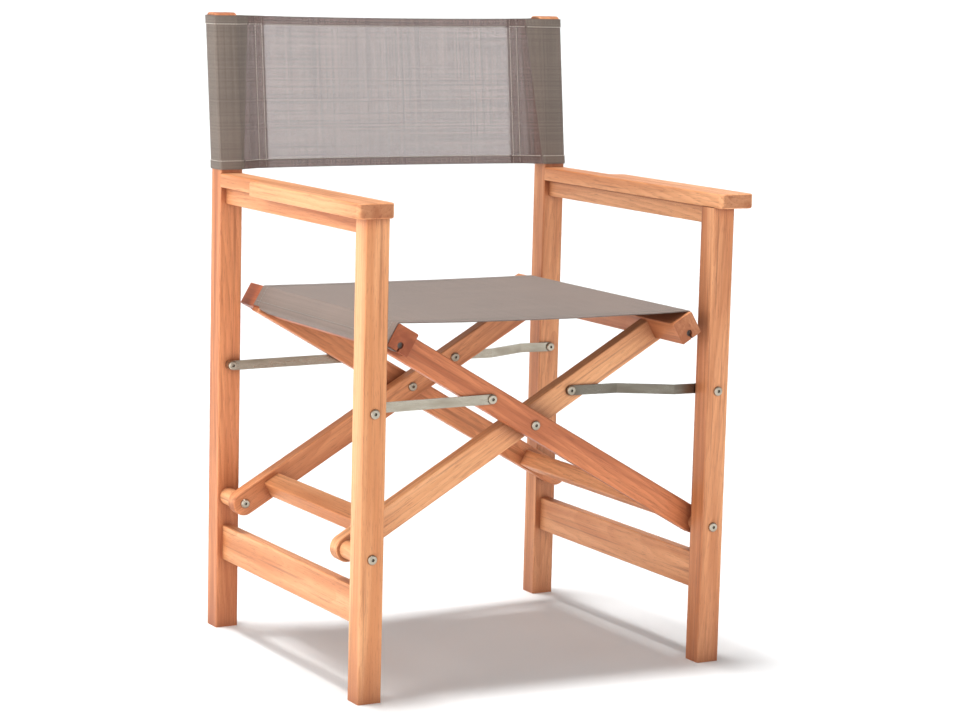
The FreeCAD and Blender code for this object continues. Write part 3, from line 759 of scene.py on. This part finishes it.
def fold_axis():
    """Direction and keep that carry the middle line of the back onto the folded chair's middle."""
    tilt = math.tan(fold_tilt())
    half = POST_IN_X - ANCHOR_D
    reach = LEG_R * math.cos(math.radians(FOLD_DEG))
    middle_low = PIVOT_X - reach * math.cos(fold_tilt()) - (BACK_Z[0] - PIVOT_Z) * tilt
    middle_low -= reach * math.sin(fold_tilt()) * tilt
    depth = BELLY - ANCHOR_H
    rise = FOLD_SWAY * LEAN - tilt / middle_low * (half - depth * FOLD_SWAY)
    axis = Vector((1.0, -FOLD_SWAY, rise)).normalized()
    reach_along = half * axis.x + depth * axis.y
    keep = 1 - middle_low / ((axis.x - tilt * axis.z) * reach_along)
    return axis, keep


AXIS, KEEP = fold_axis()


def mid_y(z):
    return POST_MID_Y + LEAN * (z - LEAN_Z)


def split_d(line, z):
    """Where a straight run of cloth crosses the plane that stays still as the chair folds."""
    (d0, h0), (d1, h1) = line

    def side_of(d, h):
        return AXIS.x * (d - ANCHOR_D) + AXIS.y * (h - ANCHOR_H + LEAN * (z - BACK_Z[0])) \
            + AXIS.z * (z - BACK_Z[0])

    a, b = side_of(d0, h0), side_of(d1, h1)
    share = min(max(a / (a - b), 0.02), 0.98)
    return (d0 + (d1 - d0) * share, h0 + (h1 - h0) * share)


def corner_touch():
    """How the rear layer leaves a post's inner corner, in (d, h).

    Gives the middle and radius of its turn, the angle where it leaves, and the point it goes to.
    """
    centre = np.array([-POST_EASE, POST_D / 2 - POST_EASE])
    radius = POST_EASE + BACK_LIFT
    target = np.array([BAND_START, BAND_GAP])
    away = target - centre
    reach = np.linalg.norm(away)
    turn = math.degrees(math.atan2(away[1], away[0]) + math.acos(radius / reach))
    return centre, radius, turn, target


def sleeve_path(z):
    """Round the post, from the front split to the rear one; gives the path and both splits."""
    centre, radius, turn, target = corner_touch()
    rear_touch = arc(centre, radius, turn, turn, 1)[0]
    rear_line = (tuple(rear_touch), tuple(target))
    rear_split = split_d(rear_line, z)
    front_line = ((rear_touch[0], -rear_touch[1]), (target[0], -target[1]))
    front_split = split_d(front_line, z)
    inner_x, outer_x = centre[0], -POST_W + POST_EASE
    half = centre[1]
    rounds = [arc((inner_x, -half), radius, -turn, -90, 5), arc((outer_x, -half), radius, 270, 180, 6),
              arc((outer_x, half), radius, 180, 90, 6), arc((inner_x, half), radius, 90, turn, 5)]
    return np.concatenate([[front_split]] + rounds + [[rear_split]]), front_split, rear_split


def belly(x):
    """How far the open back hangs behind the posts' middle plane."""
    return BELLY * (1 - (x / (POST_IN_X - BAND_START)) ** 2)


def edge_dip(d, z):
    """The top edge hangs a little lower at the middle."""
    rise = (z - BACK_Z[0]) / (BACK_Z[1] - BACK_Z[0])
    inward = min(max((d - BAND_START) / (POST_IN_X - BAND_START), 0), 1)
    return -BACK_DIP * max(rise, 0) * (1 - (1 - inward) ** 2)


def to_row(path, z, side):
    """(d, h) at height z to points in the chair's own space."""
    rows = []
    for d, h in path:
        height = z + edge_dip(d, z)
        rows.append((SIDES[side] * (POST_IN_X - d), mid_y(height) + h, height))
    return np.array(rows)


def crease(s, z, seed):
    """Upright pulls in the loose part of a sleeve."""
    return noise.noise((s * 95, z * 9, seed)) * CREASE


def loose_run(start, end, count, z, seed):
    """A layer of cloth from the split to the sewn band, as (d, h)."""
    run = resample(np.array([start, end]), count)
    for k in range(1, count - 1):
        run[k, 1] += crease(run[k, 0], z, seed) * math.sin(math.pi * k / (count - 1))
    return run


def flap_line(side, z, split):
    """The front layer, from the split to the end of the band."""
    loose = loose_run(split, (BAND_START, -BAND_GAP), FLAP_LOOSE, z, SIDES[side] * 5.1)
    inward = np.linspace(BAND_START, BAND_END, BAND_POINTS)[1:]
    band = [(d, belly(POST_IN_X - d) - BAND_GAP) for d in inward]
    return np.concatenate([loose, np.array(band)])


def half_line(side, z, split):
    """The rear layer, from the split through the band, and the open panel up to the middle."""
    loose = loose_run(split, (BAND_START, BAND_GAP), HALF_LOOSE, z, SIDES[side] * 9.3)
    panel = []
    for d in np.linspace(BAND_START, POST_IN_X, PANEL_POINTS)[1:]:
        away = POST_IN_X - d
        fade = min(1.0, away / (40 * MM)) * min(1.0, (d - BAND_START) / (30 * MM))
        ripple = noise.noise((away * 9, z * 12, 1.7 * SIDES[side])) * BACK_RIPPLE * fade
        join = max(0.0, 1 - (d - BAND_START) / (BAND_END - BAND_START))
        panel.append((d, belly(away) + BAND_GAP * join + ripple))
    return np.concatenate([loose, np.array(panel)])


def back_grid(side, part):
    """Grid of one part of the back, one row per height."""
    grid = []
    for z in np.linspace(BACK_Z[0], BACK_Z[1], BACK_ROWS):
        line, front_split, rear_split = sleeve_path(z)
        if part == "flap":
            line = flap_line(side, z, front_split)
        elif part == "half":
            line = half_line(side, z, rear_split)
        grid.append(to_row(line, z, side))
    return np.array(grid)


def back_flat(grid):
    """Flat cloth coordinates, measured from the end nearest the chair's middle."""
    along = lengths_along(grid[len(grid) // 2])
    up = lengths_along(grid[:, grid.shape[1] // 2])
    flat = np.zeros(grid.shape[:2] + (2,))
    flat[..., 0] = math.copysign(1, grid[0, 0, 0]) * (along[-1] - along)[None, :]
    flat[..., 1] = up[:, None]
    return flat


def hem_of(name, grid, material, outward):
    """Second layer along the top and bottom edges of a part of the back."""
    row_height = (BACK_Z[1] - BACK_Z[0]) / (len(grid) - 1)
    rows = max(2, int(round(BACK_HEM / row_height)) + 1)
    made = []
    for place, part in (("bottom", grid[:rows]), ("top", grid[-rows:])):
        made.append(shell(f"{name}_{place}_hem", part, back_flat(part), BACK_CLOTH * 0.8, material,
                          offset=outward * BACK_CLOTH))
    return made


def stitch_rows(grid, outward):
    """Seams along the hems of a part of the back."""
    out = normals_of(grid) * outward
    return [(grid[row] + out[row] * BACK_CLOTH * 1.3, out[row]) for row in HEM_SEAM_ROWS]


def stitch_columns(grid, outward, columns):
    """Upright seams of a part of the back."""
    out = normals_of(grid) * outward
    return [(grid[:, column] + out[:, column] * BACK_CLOTH * 0.5, out[:, column]) for column in columns]


def make_back(cloth, round_post, thread, seam_thread):
    height = BACK_Z[1] - BACK_Z[0]
    middle_z = BACK_Z[0] + height / 2
    for side in SIDES:
        body = side + "_side_frame"
        sleeve_grid = back_grid(side, "sleeve")
        flap_grid = back_grid(side, "flap")
        half_grid = back_grid(side, "half")
        # a grid's normal points to the front on one side of the chair and to the rear on the other
        post_middle = np.array((SIDES[side] * (POST_IN_X + POST_W / 2), mid_y(middle_z), middle_z))
        probe = 8
        sleeve_out = facing(sleeve_grid, probe, sleeve_grid[BACK_ROWS // 2, probe] - post_middle)
        flap_out = facing(flap_grid, probe, TO_FRONT)
        half_out = facing(half_grid, PANEL_POINTS // 2, TO_FRONT)

        sleeve = shell(side + "_back_sleeve_cloth", sleeve_grid, back_flat(sleeve_grid), BACK_CLOTH,
                       round_post, joins=("first", "last"))
        flap = shell(side + "_back_flap", flap_grid, back_flat(flap_grid), BACK_CLOTH, cloth,
                     joins=("first",))
        half = shell(side + "_back_half", half_grid, back_flat(half_grid), BACK_CLOTH, cloth,
                     joins=("first", "last"))
        sleeve_hems = hem_of(side + "_back_sleeve", sleeve_grid, round_post, sleeve_out)
        half_hems = hem_of(side + "_back_half", half_grid, cloth, -half_out)
        flap_hems = hem_of(side + "_back_flap", flap_grid, cloth, flap_out)

        sleeve_lines = stitch_rows(sleeve_grid, sleeve_out)
        flap_lines = stitch_rows(flap_grid, flap_out) + stitch_columns(flap_grid, flap_out, FLAP_SEAMS)
        half_lines = stitch_rows(half_grid[:, PANEL_START:], half_out) + stitch_rows(half_grid, -half_out)
        half_lines += stitch_columns(half_grid, -half_out, HALF_SEAMS)
        sleeve_stitches = stitches(side + "_sleeve_stitches", sleeve_lines, seam_thread)
        flap_stitches = stitches(side + "_flap_stitches", flap_lines, seam_thread)
        half_stitches = stitches(side + "_half_stitches", half_lines, thread)

        folding = [flap, half, flap_stitches, half_stitches] + half_hems + flap_hems
        for piece in folding:
            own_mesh(piece)
        for piece in [sleeve, sleeve_stitches] + sleeve_hems + folding:
            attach(piece, body)
        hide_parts(side + "_back_sleeve")
        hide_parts(side + "_back_panel")


# ---- floor, light and camera ---------------------------------------------------------------------

def make_floor():
    points = [(-FLOOR, -FLOOR, 0), (FLOOR, -FLOOR, 0), (FLOOR, FLOOR, 0), (-FLOOR, FLOOR, 0)]
    shader = Shader("floor")
    coords = shader.node("TexCoord")
    cloud = shader.noise(coords.outputs["Object"], 3.0, 0.5, scale=3.0)
    colour = shader.mix(cloud, rgb(0.85, 0.87, 0.88), rgb(0.87, 0.89, 0.90))
    shader.paint(colour, shader.span(cloud, 0.7, 0.8))
    floor = link_mesh("floor", points, [(0, 1, 2, 3)], shader.material, smooth=False)


def hang(name, lamp, towards):
    """Put a lamp in the scene; towards points from the chair to the lamp."""
    holder = bpy.data.objects.new(name, lamp)
    holder.rotation_euler = Vector(towards).to_track_quat("Z", "Y").to_euler()
    bpy.context.scene.collection.objects.link(holder)
    return holder


def softbox(name, place, target, size, power, colour):
    lamp = bpy.data.lights.new(name, "AREA")
    lamp.shape = "RECTANGLE"
    lamp.size, lamp.size_y = size
    lamp.energy = power
    lamp.color = colour
    hang(name, lamp, Vector(place) - Vector(target)).location = place


def sun(name, towards, strength, softness):
    """Soft parallel white light; softness is in degrees."""
    lamp = bpy.data.lights.new(name, "SUN")
    lamp.energy = strength
    lamp.angle = math.radians(softness)
    lamp.color = WHITE
    hang(name, lamp, towards)


def make_sky():
    """White at the horizon and dimmer overhead."""
    world = bpy.data.worlds.new("studio")
    world.use_nodes = True
    tree = world.node_tree
    coords = tree.nodes.new("ShaderNodeTexCoord")
    axes = tree.nodes.new("ShaderNodeSeparateXYZ")
    height = tree.nodes.new("ShaderNodeMath")
    height.operation = "ABSOLUTE"
    fall = tree.nodes.new("ShaderNodeMapRange")
    fall.interpolation_type = "SMOOTHSTEP"
    fall.inputs["From Min"].default_value = HORIZON[0]
    fall.inputs["From Max"].default_value = HORIZON[1]
    fall.inputs["To Min"].default_value = 1.0
    fall.inputs["To Max"].default_value = WORLD_LIGHT
    tree.links.new(coords.outputs["Generated"], axes.inputs[0])
    tree.links.new(axes.outputs["Z"], height.inputs[0])
    tree.links.new(height.outputs[0], fall.inputs["Value"])
    tree.links.new(fall.outputs["Result"], tree.nodes["Background"].inputs["Strength"])
    tree.nodes["Background"].inputs["Color"].default_value = rgb(*WHITE)
    bpy.context.scene.world = world


def make_light():
    make_sky()
    softbox("side", (-1.25, -0.15, 0.75), (0, -0.05, 0.5), (0.8, 1.2), SIDE_LIGHT, (1.0, 0.98, 0.95))
    sun("top", (-0.06, 0.10, 1.0), TOP_LIGHT, 12)
    sun("front", (-0.3, -0.9, 0.35), FRONT_LIGHT, 60)
    bpy.context.scene.view_settings.view_transform = "Standard"
    bpy.context.scene.view_settings.gamma = VIEW_GAMMA


def make_camera():
    data = bpy.data.cameras.new("camera")
    data.sensor_width = SENSOR
    data.lens = CAMERA_LENS
    data.clip_end = 3 * FLOOR
    camera = bpy.data.objects.new("camera", data)
    bpy.context.scene.collection.objects.link(camera)
    azimuth, elevation, roll = (math.radians(angle) for angle in CAMERA_TURN)
    level = math.cos(elevation)
    back = Vector((math.sin(azimuth) * level, -math.cos(azimuth) * level, math.sin(elevation)))
    right = Vector((math.cos(azimuth), math.sin(azimuth), 0))
    up = back.cross(right)
    tilted_right = right * math.cos(roll) + up * math.sin(roll)
    tilted_up = up * math.cos(roll) - right * math.sin(roll)
    turn = Matrix((tilted_right, tilted_up, back)).transposed()
    camera.matrix_world = Matrix.Translation(CAMERA_PLACE) @ turn.to_4x4()
    bpy.context.scene.camera = camera


# ---- the whole scene -----------------------------------------------------------------------------

finish_cad_nodes()
seat_cloth = woven("seat_canvas", rgb(0.250, 0.196, 0.168), rgb(0.208, 0.162, 0.139),
                   cover=1.0, uneven=0.07)
back_cloth = woven("back_canvas", rgb(0.315, 0.228, 0.208), rgb(0.270, 0.196, 0.178),
                   cover=0.745, uneven=0.17)
sleeve_cloth = woven("sleeve_canvas", rgb(0.290, 0.240, 0.205), rgb(0.248, 0.204, 0.174),
                     cover=0.90, uneven=0.16)
make_seat(seat_cloth, sewing_thread("seat_thread", 0.6))
make_back(back_cloth, sleeve_cloth, sewing_thread("back_thread", 0.9), sewing_thread("seam_thread", 1.2))
make_floor()
make_light()
make_camera()
